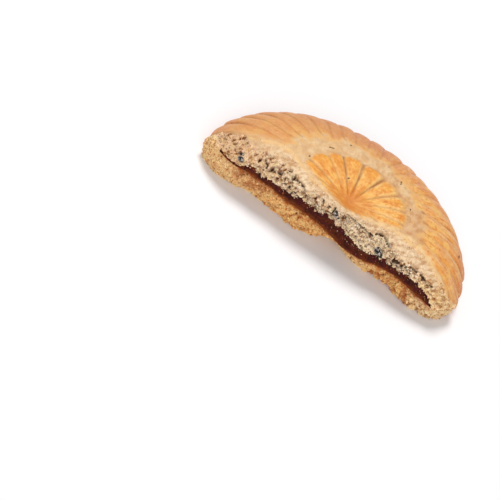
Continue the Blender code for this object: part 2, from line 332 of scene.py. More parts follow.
def dome_height(radius):
    share = np.clip(1.0 - (radius / RADIUS) ** DOME_POWER, 0.0, None)
    return WIDEST_HEIGHT + (HEIGHT - WIDEST_HEIGHT) * share ** (1.0 / SHOULDER_POWER)


def oval(bearing):
    return 1.0 + OVAL * np.cos(2.0 * bearing)


def flute_across(radius, bearing):
    """-1 to 1 across a flute, 0 on its crest, with the wander of hand-pressed dough, and two
    numbers of the flute's own."""
    turn = (bearing - math.radians(FLUTE_CREST_BEARING)) * FLUTES / (2.0 * math.pi)
    spot = stack(np.cos(bearing) * 6.0, np.sin(bearing) * 6.0, radius * 0.12)
    turn = turn + 0.20 * noise(spot, 1.0, 31)
    number = np.floor(turn + 0.5)
    cells = stack(number, 0.0, 0.0)
    return 2.0 * (turn - number), hashed(cells, 5), hashed(cells, 6)


def flute_depth(radius, height, bearing):
    """(depth, place across the flute, how deep its groove is, darkness of its inner end)."""
    side, own, start = flute_across(radius, bearing)
    across = np.abs(side)
    first = FLUTE_START + 1.8 * (start - 0.5)
    growth = 0.40 * smoothstep(first - 0.3, first + 2.0, radius)
    growth = growth + 0.60 * smoothstep(FLUTE_START, RADIUS, radius)
    foot = 0.35 + 0.65 * smoothstep(0.0, WIDEST_HEIGHT, height)
    sharp = 0.45 + 0.15 * smoothstep(31.0, 41.0, radius)
    spot = stack(radius * np.cos(bearing), radius * np.sin(bearing), height)
    right = smoothstep(5.0, 25.0, spot[..., 0])
    whole = smoothstep(33.0 + 4.0 * right, 40.0 + 2.5 * right, radius)
    worn = 1.0 - (0.36 + 0.34 * noise(spot, 3.6, 32)) * (1.0 - whole)
    depth = FLUTE_DEPTH * (0.75 + 0.35 * own) * growth * foot * worn
    crest = 0.30 * start * smoothstep(33.0, 42.0, radius) * foot
    accent = np.exp(-(((radius - first - 1.0) / 1.3) ** 2)) * smoothstep(0.3, 0.9, own)
    depth = depth * ((1.0 - sharp) * across**2.0 + sharp * across**6) + crest * (1.0 - across**4)
    return depth, side, growth * worn, accent


def petal_relief(x, y):
    """(height over the band, share of the rosette, across the petal, how far out, strength of
    the nearest groove)."""
    dx = x - ROSETTE_X
    dy = y - ROSETTE_Y
    reach = np.hypot(dx, dy)
    first = GROOVE_BEARINGS[0]
    bearing = first + (np.degrees(np.arctan2(dy, dx)) - first) % 360.0
    grooves = np.array(GROOVE_BEARINGS + (first + 360,), float)
    after = np.clip(np.searchsorted(grooves, bearing, side="right"), 1, len(grooves) - 1)
    before = after - 1
    across = np.abs(2.0 * (bearing - grooves[before]) / (grooves[after] - grooves[before]) - 1.0)
    side = np.where(bearing > 0.5 * (grooves[before] + grooves[after]), after, before)
    strength = np.array(GROOVE_STRENGTHS)[side % len(GROOVE_BEARINGS)]
    tip = PETAL_RADIUS + PETAL_SHIFT * np.sin(np.radians(bearing))
    tip = tip * (1.0 - 0.08 * across**4)
    zone = fade(0.84 * tip, 1.02 * tip, reach)
    lobe = zone * smoothstep(0.0, 0.35 * PETAL_RADIUS, reach)
    lobe = lobe * (1.0 - (0.3 + 0.7 * strength) * across ** (4.0 + 6.0 * (1.0 - strength)))
    dip = DIP_DEPTH * np.exp(-((reach / DIP_RADIUS) ** 2))
    return PETAL_RELIEF * lobe - dip, zone, across, reach / tip, strength


CRUST_FIELDS = ("flute", "crest", "groove", "side", "accent", "petal", "flank", "amber", "centre",
                "torn", "streak")


def crust_profile(step):
    """The half section of the disc, from its top centre to the middle of its base, in points
    about step apart: arrays of radius, height, and the outward direction."""
    fine = np.linspace(0.0, 1.0, 4000)
    top_radius = RADIUS * np.sin(0.5 * math.pi * fine)
    turn = 0.5 * math.pi * fine[1:]
    foot_radius = BASE_RADIUS + (RADIUS - BASE_RADIUS) * np.cos(turn)
    radius = np.concatenate([top_radius, foot_radius])
    height = np.concatenate([dome_height(top_radius), WIDEST_HEIGHT * (1.0 - np.sin(turn))])
    length = np.concatenate([[0.0], np.cumsum(np.hypot(np.diff(radius), np.diff(height)))])
    at = np.linspace(0.0, length[-1], int(length[-1] / step) + 1)
    out = np.interp(at, length, -np.gradient(height, length))
    rise = np.interp(at, length, np.gradient(radius, length))
    size = np.hypot(out, rise)
    return np.interp(at, length, radius), np.interp(at, length, height), out / size, rise / size


def crust_rings():
    """Rings of points of the whole disc, from the top centre outwards, down and under."""
    def columns(radius, whole, half):
        return FLUTES * FLUTE_COLUMNS // (1 if radius > whole else 2 if radius > half else 4)

    rings = []
    for radius, height, out, rise in zip(*crust_profile(CRUST_STEP)):
        if radius >= 0.2:
            rings.append((columns(radius, 20.0, 8.0), radius, height, out, rise))
    for radius in np.arange(BASE_RADIUS - 1.0, 2.0, -BASE_STEP):
        rings.append((columns(radius, 38.0, 30.0), radius, 0.0, 0.0, -1.0))
    return rings


def rosette(spot, from_break):
    """(relief, fields) of the petals, the grooves between them and the dip in the middle."""
    x, y, _ = np.moveaxis(spot, -1, 0)
    relief, zone, across, reach, strength = petal_relief(x, y)
    calm = smoothstep(0.4, 3.0, from_break)
    zone = zone * calm
    relief = relief * calm + (1.0 - calm) * np.minimum(relief, 0.0)
    inside = fade(0.95, 1.02, reach)
    # The grooves' brown mask is partly their own colour and partly painted shade
    groove = smoothstep(0.68, 1.0, across) ** 1.5 * inside * smoothstep(0.08, 0.42, reach)
    right = smoothstep(2.0, 10.0, x)
    # Pale flanks beside the grooves: partly paler dough, partly a painted highlight for the petals'
    # relief
    flank = across + 0.12 * right + 0.25 * noise(spot, 2.0, 79)
    flank = smoothstep(0.55, 0.85, flank) * inside * smoothstep(0.2, 0.5, reach)
    return relief, {
        "groove": groove * calm * strength,
        "petal": zone * (1.0 - 0.15 * across**8),
        "flank": flank * calm * np.maximum(strength, 0.95 * right),
        "amber": zone * smoothstep(0.5, 0.85, reach),
        "centre": np.exp(-((reach * PETAL_RADIUS / 4.6) ** 2)),
    }


def baked(offset, spot, growth, around, radius):
    """The offset of the crust less its unevenness: lumps, streaks along the flutes, dimples."""
    offset = offset - LUMP_HEIGHT * (0.5 + 0.5 * fractal(spot, 1.7, 72))
    offset = offset - SWELL_HEIGHT * (0.5 + 0.5 * noise(spot, 4.5, 73))
    streak = stack(around, 0.22 * radius, 0.22 * spot[..., 2])
    offset = offset - STREAK_HEIGHT * growth * (0.5 + 0.5 * fractal(streak, 1.0, 75, 2))
    dimple, _, own = grains(spot, 2.0, 74)
    return offset - DIMPLE_DEPTH * (own > 0.65) * np.clip(1.0 - dimple / 0.2, 0.0, 1.0) ** 0.7


def crust_points(count, radius, height, out, rise):
    """The points of one ring and their fields, named as in CRUST_FIELDS."""
    bearing = math.radians(FLUTE_CREST_BEARING) + 2.0 * math.pi * np.arange(count) / count
    x = radius * np.cos(bearing)
    y = radius * np.sin(bearing)
    spot = stack(x, y, height)
    from_break = y - read_stations(BREAK_STATIONS, x, BAKED_TOP)
    depth, side, growth, accent = flute_depth(radius, height, bearing)
    across = np.abs(side)
    relief, petals = rosette(spot, from_break) if radius < FLUTE_START else (0.0, {})
    if rise < -0.999:
        offset = -BASE_UNEVENNESS * (0.5 + 0.5 * fractal(spot, 2.5, 71))
    else:
        offset = baked(-depth + relief, spot, growth, bearing * radius, radius)
    spread = oval(bearing) * (1.0 + offset * out / radius)
    lift = offset * rise if height > 0.0 else -offset
    start = radius + 2.4 * noise(spot, 2.6, 76) - 0.8 * (across - 0.5)
    # Grooves of the flutes, painted darker: partly their own colour, partly painted shade
    groove = smoothstep(0.70, 1.0, across) * growth * (1.0 - 0.6 * smoothstep(-8.0, 22.0, x))
    edge = from_break + 0.9 * noise(spot, 1.3, 77)
    torn = 2.8 - 0.8 * smoothstep(-30.0, -20.0, x) - 0.9 * np.exp(-(((x - 2.0) / 8.0) ** 2))
    streak = stack(bearing * 32.0, 0.25 * radius + 0.3 * height, 0.0)
    fields = {
        **dict.fromkeys(CRUST_FIELDS, 0.0 * x),
        "flute": smoothstep(FLUTE_START - 2.4, FLUTE_START + 3.4, start),
        # Mask of the flute crests, used only for a painted highlight
        "crest": fade(0.05, 0.55, across) * growth,
        "groove": groove,
        "torn": fade(0.1, torn, edge),
        # Place across each flute, used only for its painted light and shade
        "side": 0.5 + 0.5 * side,
        "accent": accent * smoothstep(0.35, 0.95, across),
        "streak": fractal(streak, 1.1, 78, 2),
        **petals,
    }
    return stack(x * spread, y * spread, height + lift), fields


def build_disc():
    """The whole disc as a closed mesh with fields at its vertices."""
    verts, faces, fields = [], [], {name: [] for name in CRUST_FIELDS}
    start, last = 0, None
    for ring in crust_rings():
        points, values = crust_points(*ring)
        verts.append(points)
        for name in fields:
            fields[name].append(values[name])
        here = start + np.arange(len(points))
        if last is not None:
            faces += bridge(last, here)
        last = here
        start += len(points)
    faces += [np.arange(len(verts[0]))[::-1].tolist(), last.tolist()]
    mesh = new_mesh("disc", np.concatenate(verts), faces)
    for name, values in fields.items():
        set_field(mesh, name, np.concatenate(values))
    return mesh


def bridge(inner, outer):
    """Faces between two rings, where one may have twice the points of the other."""
    a, b = inner, outer
    a2, b2 = np.roll(a, -1), np.roll(b, -1)
    if len(a) == len(b):
        parts = ((a, b, b2, a2),)
    elif len(b) == 2 * len(a):
        even, odd, following = b[0::2], b[1::2], np.roll(b[0::2], -1)
        parts = ((a, even, odd), (a, odd, a2), (a2, odd, following))
    else:
        even, odd, following = a[0::2], a[1::2], np.roll(a[0::2], -1)
        parts = ((b, odd, even), (b, b2, odd), (b2, following, odd))
    return np.concatenate([np.stack(part, axis=-1) for part in parts]).tolist()


# ---------------------------------------------------------------- break

def break_base(x, z):
    """(y, share of the slope up to the baked top) of the smooth break."""
    at_base, beside, step, at_top = (read_stations(BREAK_STATIONS, x, n) for n in range(1, 5))
    y = at_base + (beside - at_base) * smoothstep(0.0, LOWER_LAYER, z)
    reach = np.hypot(x, at_top) / oval(np.arctan2(at_top, x))
    rim = dome_height(np.minimum(RADIUS, reach))
    slope = np.clip((z - step) / np.maximum(rim - step, 1.0), 0.0, None)
    return y + (at_top - beside) * slope, slope


def filling_section(x, y):
    """(height of the middle, thickness) of the filling."""
    beside = fade(FILLING_BLEND_START, FILLING_BLEND_START + FILLING_BLEND, y)
    share = np.minimum(1.0, np.hypot(x, y) / FILLING_RADIUS)
    middle = FILLING_MID_HEIGHT - FILLING_DROOP * share**4
    thick = FILLING_EDGE + (FILLING_THICKNESS - FILLING_EDGE) * np.sqrt(1.0 - share**3)
    middle = middle + (read_stations(FILLING_STATIONS, x, 1) - middle) * beside
    thick = thick + (read_stations(FILLING_STATIONS, x, 2) - thick) * beside
    return middle, thick


def crack_gap(x, z):
    """How far a point of the break is from the nearest crack or hole."""
    gap = 0.0 * x + 9.0
    for wider, *line in CRACKS:
        for (x0, z0), (x1, z1) in zip(line, line[1:]):
            along_x, along_z = x1 - x0, z1 - z0
            share = ((x - x0) * along_x + (z - z0) * along_z) / (along_x**2 + along_z**2)
            share = np.clip(share, 0.0, 1.0)
            far = np.hypot(x - x0 - share * along_x, z - z0 - share * along_z)
            gap = np.minimum(gap, far - wider)
    for x0, z0, radius in HOLES:
        gap = np.minimum(gap, np.hypot(x - x0, z - z0) - 0.6 * radius)
    return gap


def seed_gap(spot):
    """How far a point of the break is from the nearest seed's edge, seen from the front."""
    gap = 0.0 * spot[..., 0] + 9.0
    for x, z, axis, length, _ in SEEDS:
        dx, dz = spot[..., 0] - x, spot[..., 2] - z
        size = math.hypot(axis[0], axis[2])
        along = np.abs(dx * axis[0] + dz * axis[2]) / size
        across = np.abs(dx * axis[2] - dz * axis[0]) / size
        far = np.hypot(np.maximum(along - 0.42 * length, 0.0), across)
        gap = np.minimum(gap, far - 0.15 * length)
    return gap


def stain_at(spot):
    """Share of reddish brown in the lower layer: stains, and a lip along the filling."""
    middle, thick = filling_section(spot[..., 0], spot[..., 1])
    below = middle - 0.5 * thick - spot[..., 2] + 0.5 * noise(spot, 1.6, 50)
    stain = fade(0.0, 2.1, below) * smoothstep(0.3, 1.6, thick)
    for x0, z0, radius in STAINS:
        far = np.hypot(spot[..., 0] - x0, spot[..., 2] - z0) / radius
        far = far + 0.5 * noise(spot, 1.3, 49) + 0.4 * noise(spot, 0.5, 55)
        stain = np.maximum(stain, 0.82 * fade(0.4, 1.1, far))
    return stain


def break_frame(x, z, nudge=0.05):
    """(y of the smooth break, share of the slope up to the baked top, outward direction)."""
    y, slope = break_base(x, z)
    along_x = stack(1.0, (break_base(x + nudge, z)[0] - y) / nudge, 0.0)
    along_z = stack(0.0, (break_base(x, z + nudge)[0] - y) / nudge, 1.0)
    out = np.cross(along_x, along_z)
    out = out / np.linalg.norm(out, axis=-1, keepdims=True)
    return y, slope, np.where(out[..., 1:2] > 0.0, -out, out)


def crumb_relief(plain, upper, even):
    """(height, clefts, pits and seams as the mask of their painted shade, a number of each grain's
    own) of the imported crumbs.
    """
    warp = plain + 0.35 * np.stack([noise(plain, 0.9, 90 + k) for k in range(3)], axis=-1)
    near, second, own = grains(warp, CLOD_SIZE, 42)
    clods = CLOD_HEIGHT * (1.0 - np.clip(near / 0.85, 0.0, 1.0) ** 2) + 0.50 * (own - 0.5) - 0.45
    cleft = fade(0.03, 0.20, second - near)
    cleft = cleft * smoothstep(-0.45, 0.15, noise(plain, 2.2, 44)) * (1.0 - 0.7 * even)
    clods = clods - CLEFT_DEPTH * cleft
    near, second, own = grains(warp, GRAIN_SIZE, 43)
    grain = GRAIN_HEIGHT * (1.0 - np.clip(near / 0.85, 0.0, 1.0) ** 2) + 0.20 * (own - 0.5) - 0.20
    pit = (own < 0.12 + 0.10 * upper) * fade(0.25, 0.75, near)
    pit = pit * (1.0 - 0.2 * even)
    seam = fade(0.04, 0.26, second - near)
    seam = seam * smoothstep(-0.15, 0.45, noise(plain, 0.9, 57)) * (1.0 - 0.4 * even)
    grain = grain - SEAM_DEPTH * seam - PIT_DEPTH * pit
    height = (0.60 + 0.40 * upper - 0.35 * even) * clods + (1.0 - 0.1 * even) * grain - 0.1
    return height, cleft, np.maximum(pit, 0.9 * seam), own


def lower_wear(plain, upper, even):
    """How much is bitten out of the lower layer, and nibbled off along its base."""
    x, z = plain[..., 0], plain[..., 2]
    bitten = 0.5 + 0.5 * fractal(plain, 2.6, 46, 2)
    bitten = (0.40 + 0.50 * smoothstep(8.0, 20.0, x)) * bitten * (1.0 - upper) * (1.0 - even)
    nibbled = smoothstep(0.0, 0.5, noise(plain, 1.1, 56)) * fade(0.3, 2.4, z)
    nibbled = nibbled * (1.0 - 0.6 * smoothstep(30.0, 34.0, x))
    return bitten, (0.35 + 0.55 * smoothstep(0.0, 8.0, x)) * nibbled


def break_surface(x, z):
    """Points of the crumbly break of the dough, and its fields."""
    y, slope, out = break_frame(x, z)
    plain = stack(x, y, z)
    edge = read_stations(EDGE_STATIONS, x, 1) + 0.35 * noise(plain, 1.5, 41)
    band = smoothstep(edge - 0.1, edge + 0.25, z)
    middle, thick = filling_section(x, y)
    upper = smoothstep(-0.6, 0.6, z - middle)
    even = fade(*EVEN_END, x)
    rough, cleft, sunk, own = crumb_relief(plain, upper, even)
    bitten, nibbled = lower_wear(plain, upper, even)
    rough = rough - bitten - nibbled
    slant = stack(0.35 * (x + 1.4 * z), y, 1.5 * (z - 0.7 * x))
    fibre = fractal(slant, 1.1, 47)
    torn = 0.16 * fibre + 0.16 * fractal(plain, 1.2, 48, 2) - 0.12
    gap = crack_gap(x, z) + 0.14 * noise(plain, 0.6, 45) + 0.14 * noise(plain, 1.7, 54)
    # Mask of the cracks and holes, which are cut deeper and painted with shade
    opened = fade(0.06, 0.30, gap)
    roof = smoothstep(0.3, 1.8, np.abs(z - middle) - 0.5 * thick)
    amount = rough + (torn - rough) * band
    amount = np.minimum(amount, 0.30) - (0.30 + 0.60 * roof * (0.4 + 0.6 * upper)) * opened
    amount = np.maximum(amount, -0.75 - 1.25 * roof)
    # Painted shade mask: hollows, pits and seams of the crumbs
    sunk = np.maximum(sunk, fade(-1.3, -0.45, rough))
    return plain + out * amount[..., None], {
        "band": band,
        "deep": opened,
        "cleft": cleft * (1.0 - band),
        "sunk": sunk * (1.0 - band),
        "upper": upper,
        "tone": own,
        "stain": stain_at(plain) * (1.0 - upper),
        "fibre": 0.5 + 0.5 * fibre,
        "skin": smoothstep(0.70, 1.0, slope + 0.12 * noise(plain, 1.6, 53)) * band,
    }


def filling_back(x, z):
    """(y of the smooth break, how far the filling's face lies behind it: most along its top)."""
    y, _ = break_base(x, z)
    plain = stack(x, y, z)
    middle, thick = filling_section(x, y)
    level = (z - middle) / (0.5 * thick + 0.2)
    back = 0.06 + 0.99 * smoothstep(-0.4, 0.9, level) * smoothstep(-0.4, 2.2, thick)
    return y, back + 0.16 * fractal(plain, 2.6, 51) + 0.06 * fractal(plain, 0.9, 52, 2)


def filling_surface(x, z):
    """Points of the smooth broken face of the filling, which has no fields."""
    y, back = filling_back(x, z)
    return stack(x, y + np.clip(back, 0.05, None), z), {}


def build_cutter(name, surface, step):
    """(mesh, points, fields) of a closed block whose back is a broken surface."""
    side, front, low, high = CUTTER_SIDE, CUTTER_FRONT, CUTTER_LOW, CUTTER_HIGH
    columns = np.linspace(-side, side, int(2.0 * side / step) + 1)
    rows = np.linspace(low, high, int((high - low) / step) + 1)
    x, z = np.meshgrid(columns, rows)
    points, fields = surface(x, z)
    points[:, 0, 0], points[:, -1, 0] = -side, side
    points[0, :, 2], points[-1, :, 2] = low, high
    corners = [(-side, front, low), (side, front, low), (side, front, high), (-side, front, high)]
    low_left, low_right, high_right, high_left = range(x.size, x.size + 4)
    index = np.arange(x.size).reshape(x.shape)
    faces = grid_faces(index).tolist() + [
        [low_left, high_left, high_right, low_right],
        [low_left, low_right] + index[0, ::-1].tolist(),
        [high_right, high_left] + index[-1].tolist(),
        [high_left, low_left] + index[:, 0].tolist(),
        [low_right, high_right] + index[::-1, -1].tolist(),
    ]
    mesh = new_mesh(name, np.concatenate([points.reshape(-1, 3), corners]), faces)
    for key, values in fields.items():
        set_field(mesh, key, np.concatenate([values.ravel(), np.zeros(4)]))
    return mesh, points, fields


# ---------------------------------------------------------------- filling

def build_filling(name, grow):
    """The layer of filling as a closed mesh, fine beside the break, larger by grow all round."""
    x = np.linspace(-1.0, 1.0, FILLING_COLUMNS)
    x = FILLING_RADIUS * np.sin(0.5 * math.pi * x) * 0.35 + FILLING_RADIUS * x * 0.65
    along = np.linspace(0.0, 1.0, FILLING_ROWS)[:, None]
    far = np.sqrt(np.clip(FILLING_RADIUS**2 - x**2, 4.0, None))
    y = FILLING_FRONT + (far - FILLING_FRONT) * (0.55 * along + 0.45 * along**3)
    x = np.broadcast_to(x, y.shape)
    middle, thick = filling_section(x, y)
    full = np.minimum(1.0, thick / 2.0)
    spot = stack(x, y, 0.0)
    ragged = 0.22 * fractal(spot, 2.4, 61) + 0.30 * noise(spot, 1.2, 63)
    bitten = 0.18 * fractal(spot, 3.0, 62) + 0.26 * noise(spot, 1.1, 64) + 0.08
    wide, deep = x * (1 + grow / FILLING_RADIUS), y + grow * along
    upper = stack(wide, deep, middle + 0.5 * thick + grow + ragged * full)
    lower = stack(wide, deep, middle - 0.5 * thick - grow + bitten * full)
    index = np.arange(x.size).reshape(x.shape)
    faces = grid_faces(index).tolist() + grid_faces(index + x.size)[:, ::-1].tolist()
    loop = np.concatenate([index[0, :-1], index[:-1, -1], index[-1, :0:-1], index[:0:-1, 0]])
    following = np.roll(loop, -1)
    faces += stack(following, loop, loop + x.size, following + x.size).tolist()
    return new_mesh(name, np.concatenate([upper.reshape(-1, 3), lower.reshape(-1, 3)]), faces)


# ---------------------------------------------------------------- mesh helpers

def new_mesh(name, points, faces):
    """A mesh whose faces all look outwards."""
    mesh = bpy.data.meshes.new(name)
    mesh.from_pydata(np.asarray(points, float).tolist(), [], faces)
    work = bmesh.new()
    work.from_mesh(mesh)
    bmesh.ops.recalc_face_normals(work, faces=work.faces)
    work.to_mesh(mesh)
    work.free()
    return mesh


def grid_faces(index):
    """The four-sided faces of a grid of vertex numbers."""
    return stack(index[:-1, :-1], index[:-1, 1:], index[1:, 1:], index[1:, :-1]).reshape(-1, 4)


def joined(name, bodies, sides):
    """One mesh of many bodies: their points, each with the same faces between them."""
    starts = bodies.shape[1] * np.arange(len(bodies))[:, None, None]
    mesh = bpy.data.meshes.new(name)
    mesh.from_pydata(bodies.reshape(-1, 3).tolist(), [], (sides + starts).reshape(-1, 3).tolist())
    return mesh


def new_object(name, data):
    made = bpy.data.objects.new(name, data)
    bpy.context.scene.collection.objects.link(made)
    return made


def set_field(mesh, name, values):
    layer = mesh.attributes.get(name) or mesh.attributes.new(name, "FLOAT", "POINT")
    layer.data.foreach_set("value", np.asarray(values, np.float32))


def get_field(mesh, name):
    values = np.zeros(len(mesh.vertices), np.float32)
    if name in mesh.attributes:
        mesh.attributes[name].data.foreach_get("value", values)
    return values


def get_points(mesh):
    flat = np.zeros(len(mesh.vertices) * 3, np.float32)
    mesh.vertices.foreach_get("co", flat)
    return flat.reshape(-1, 3).astype(float)


def cut(base, cutters):
    """base less the cutters, as a new mesh. Material slot n + 1 marks faces left by cutter n."""
    made = [new_object("cut_" + mesh.name, mesh) for mesh in [base] + cutters]
    for number, item in enumerate(made):
        while len(item.data.materials) <= len(cutters):
            item.data.materials.append(None)
        item.data.polygons.foreach_set("material_index", [number] * len(item.data.polygons))
    for tool in made[1:]:
        step = made[0].modifiers.new(tool.name, "BOOLEAN")
        step.operation = "DIFFERENCE"
        step.solver = "MANIFOLD"
        step.object = tool
    bpy.context.view_layer.update()
    seen = made[0].evaluated_get(bpy.context.evaluated_depsgraph_get())
    result = bpy.data.meshes.new_from_object(seen)
    for item in made:
        bpy.data.objects.remove(item, do_unlink=True)
    return result


def slots_of(mesh):
    """The material slot of each face, and for each vertex True in column n where one of slot n
    uses it."""
    count = len(mesh.polygons)
    slot, total = np.zeros((2, count), np.int32)
    mesh.polygons.foreach_get("material_index", slot)
    mesh.polygons.foreach_get("loop_total", total)
    corner = np.zeros(len(mesh.loops), np.int32)
    mesh.loops.foreach_get("vertex_index", corner)
    used = np.zeros((len(mesh.vertices), 3), bool)
    used[corner, np.repeat(slot, total)] = True
    return slot, used


def copy_fields(mesh, rows, source, names):
    """Copies fields from the nearest vertices of source to the given vertices of mesh."""
    tree = kdtree.KDTree(len(source.vertices))
    for number, point in enumerate(get_points(source)):
        tree.insert(point, number)
    tree.balance()
    nearest = np.array([tree.find(point)[1] for point in get_points(mesh)[rows]], int)
    for name in names:
        values = get_field(mesh, name)
        values[rows] = get_field(source, name)[nearest]
        set_field(mesh, name, values)


def place(name, mesh, box, smooth=True):
    """Makes a piece of the mesh, moved to the model's frame and kept inside its box."""
    points = (get_points(mesh) - (0.0, AXIS_TO_ORIGIN, 0.0)) * MM
    points = np.clip(points, *(np.array(corner) for corner in box))
    mesh.vertices.foreach_set("co", points.astype(np.float32).ravel())
    mesh.update()
    if smooth:
        mesh.shade_smooth()
    return new_object(name, mesh)


# ---------------------------------------------------------------- crumbs and seeds

def ball(subdivisions):
    """Points and faces of a ball; with no subdivisions, of eight triangles."""
    if subdivisions == 0:
        points = np.concatenate([np.eye(3), -np.eye(3)])
        around = ((0, 1), (1, 3), (3, 4), (4, 0))
        return points, np.array([(a, b, 2) for a, b in around] + [(b, a, 5) for a, b in around])
    work = bmesh.new()
    bmesh.ops.create_icosphere(work, subdivisions=subdivisions, radius=1.0)
    points = np.array([vert.co[:] for vert in work.verts])
    faces = np.array([[vert.index for vert in face.verts] for face in work.faces])
    work.free()
    return points, faces


def turned(random, count):
    """Rotation matrices, one for each grain."""
    q = random.normal(size=(count, 4))
    q /= np.linalg.norm(q, axis=1, keepdims=True)
    w, x, y, z = q.T
    return np.stack([
        stack(1 - 2 * (y * y + z * z), 2 * (x * y - z * w), 2 * (x * z + y * w)),
        stack(2 * (x * y + z * w), 1 - 2 * (x * x + z * z), 2 * (y * z - x * w)),
        stack(2 * (x * z - y * w), 2 * (y * z + x * w), 1 - 2 * (x * x + y * y)),
    ], 1)


# Each kind of crumb: its seed of random numbers, count on the break, subdivisions, smallest and
# largest radius, share that lies on the torn band and at the even left end, count in each clump,
# and count on the filling
CrumbKind = namedtuple(
    "CrumbKind", "name seed count level small large on_band on_left clumped dusting")
CRUMB_KINDS = (
    CrumbKind("crumb_lumps", 21, 1000, 2, 0.22, 0.42, 0.0, 0.2, 3, 0),
    CrumbKind("crumb_grains", 22, 8300, 1, 0.13, 0.26, 0.05, 0.9, 34, 60),
    CrumbKind("crumb_dust", 23, 21500, 0, 0.08, 0.16, 0.30, 1.0, 70, 330),
)
SMALLEST_CRUMB = 0.08
# Shapes of crumbs: how many, the facets cut off each, and its largest radius before they are
CHIP_SHAPES = 24
CHIP_FACETS = 11
CHIP_REACH = 1.2
# Crumbs on the filling: their ends along X, and about where its face is along Y
DUSTED_FROM, DUSTED_TO = -33.0, 35.0
FACE_OF_FILLING = -7.3

# Radius of the seeds as a share of their length, half thickness of the specks, and how deep
# the specks' middles lie
SEED_RADIUS = 0.31
SPECK_HALF_THICKNESS = 0.20
SPECK_DEPTH = 0.12


def choose_places(random, kind, points, fields):
    """Rows of the break's grid where grains lie."""
    x, y, z = points.reshape(-1, 3).T
    band, upper, deep, cleft, sunk = (
        fields[name].ravel() for name in ("band", "upper", "deep", "cleft", "sunk"))
    middle, thick = filling_section(x, y)
    radius = np.hypot(x, y) / oval(np.arctan2(y, x))
    top = dome_height(np.minimum(radius, RADIUS))
    rim = 1.2 if kind.on_left < 0.5 else 0.25
    inside = (z > 0.15 + 0.2 * rim) & (z < top - 0.4 * rim) & (radius < RADIUS - rim)
    inside = inside & ~fields["bare"]
    weight = inside * (np.abs(z - middle) > 0.5 * thick + 0.15)
    weight = weight * (1.0 - (1.0 - kind.on_band) * band)
    weight = weight * (1.0 - (1.0 - kind.on_left) * fade(*EVEN_END, x))
    weight = weight * (0.7 + 0.3 * upper) * (1.0 - deep)
    weight = weight * (1.0 - 0.92 * np.maximum(cleft, sunk))
    return random.choice(len(x), kind.count, p=weight / weight.sum())


def clump_places(random, count):
    """Places round the middles of the clumps, and the direction out of the break there."""
    places, outs = [], []
    for x, z, radius in CLUMPS:
        off = random.normal(size=(count, 3))
        off *= random.uniform(0.2, 1.4, (count, 1)) / np.linalg.norm(off, axis=1, keepdims=True)
        x, z = x + radius * off[:, 0], z + 0.8 * radius * off[:, 2]
        y, _, out = break_frame(x, z)
        lift = radius * (0.20 + 0.60 * off[:, 1])
        places.append(stack(x, y, z) + out * lift[:, None])
        outs.append(out)
    return np.concatenate(places), np.concatenate(outs)


def dusted_places(random, count):
    """Places on the filling, mostly near its top, and the direction towards the front."""
    x = random.uniform(DUSTED_FROM, DUSTED_TO, count)
    middle, thick = filling_section(x, 0.0 * x + FACE_OF_FILLING)
    z = middle + 0.5 * thick * (1.0 - 1.9 * random.uniform(0.0, 1.0, count) ** 3.0)
    y, back = filling_back(x, z)
    return stack(x, y + back, z), np.tile((0.0, -1.0, 0.0), (count, 1))


def chip_shapes(random, level):
    """Shapes of broken crumbs: rough balls with random facets cut off. Points and faces."""
    shape, sides = ball(level)
    chips = []
    for number in range(CHIP_SHAPES):
        facets = random.normal(size=(CHIP_FACETS, 3))
        facets /= np.linalg.norm(facets, axis=1, keepdims=True)
        reach = random.uniform(0.60, 1.0, CHIP_FACETS)
        facing = shape @ facets.T
        radius = np.where(facing > 0.2, reach / np.maximum(facing, 0.2), CHIP_REACH).min(axis=1)
        rough = 1.0 + 0.42 * noise(shape * 2.2 + 7.0 * number, 1.0, 83)
        chips.append(shape * (np.minimum(radius, CHIP_REACH) * rough)[:, None])
    return np.stack(chips), sides


def build_crumbs(points, fields, kind, box):
    """Grains of one kind that stand on the break inside the box, joined in one mesh."""
    random = np.random.default_rng(kind.seed)
    chosen = choose_places(random, kind, points, fields)
    places = points.reshape(-1, 3)[chosen]
    _, _, outs = break_frame(places[:, 0], places[:, 2])
    low = fields["sunk"].ravel()[chosen]
    for more, out in (clump_places(random, kind.clumped), dusted_places(random, kind.dusting)):
        places, outs = np.concatenate([places, more]), np.concatenate([outs, out])
        low = np.concatenate([low, np.zeros(len(more))])
    count = len(places)
    size = random.uniform(kind.small, kind.large, count)
    room = np.minimum(crack_gap(places[:, 0], places[:, 2]) / 0.9, seed_gap(places))
    size = np.clip(size, None, np.clip(room, SMALLEST_CRUMB, None))
    chips, sides = chip_shapes(random, kind.level)
    shape = chips[random.integers(0, CHIP_SHAPES, count)]
    stretch = random.uniform(0.55, 1.25, (count, 1, 3))
    grain = np.einsum("nij,nkj->nki", turned(random, count), shape * stretch)
    # Painted shade on the side of each grain that faces into the break
    sunk = smoothstep(0.45, -0.55, np.einsum("nki,ni->nk", grain, outs))
    centre = places + outs * (random.uniform(-0.25, 0.45, count) * size)[:, None]
    reach = np.abs(grain).max(axis=1) * size[:, None]
    near, far = (np.array(corner) / MM + (0.0, AXIS_TO_ORIGIN, 0.0) for corner in box)
    centre = np.clip(centre, near + reach, far - reach)
    mesh = joined(kind.name, grain * size[:, None, None] + centre[:, None], sides)
    middle, _ = filling_section(places[:, 0], places[:, 1])
    upper = smoothstep(-0.6, 0.6, places[:, 2] - middle)
    set_field(mesh, "sunk", np.maximum(sunk, 0.6 * low[:, None]).ravel())
    each = {"tone": random.uniform(0.0, 1.0, count), "upper": upper,
            "stain": stain_at(places) * (1.0 - upper)}
    for key, values in each.items():
        set_field(mesh, key, np.repeat(values, shape.shape[1]))
    return mesh


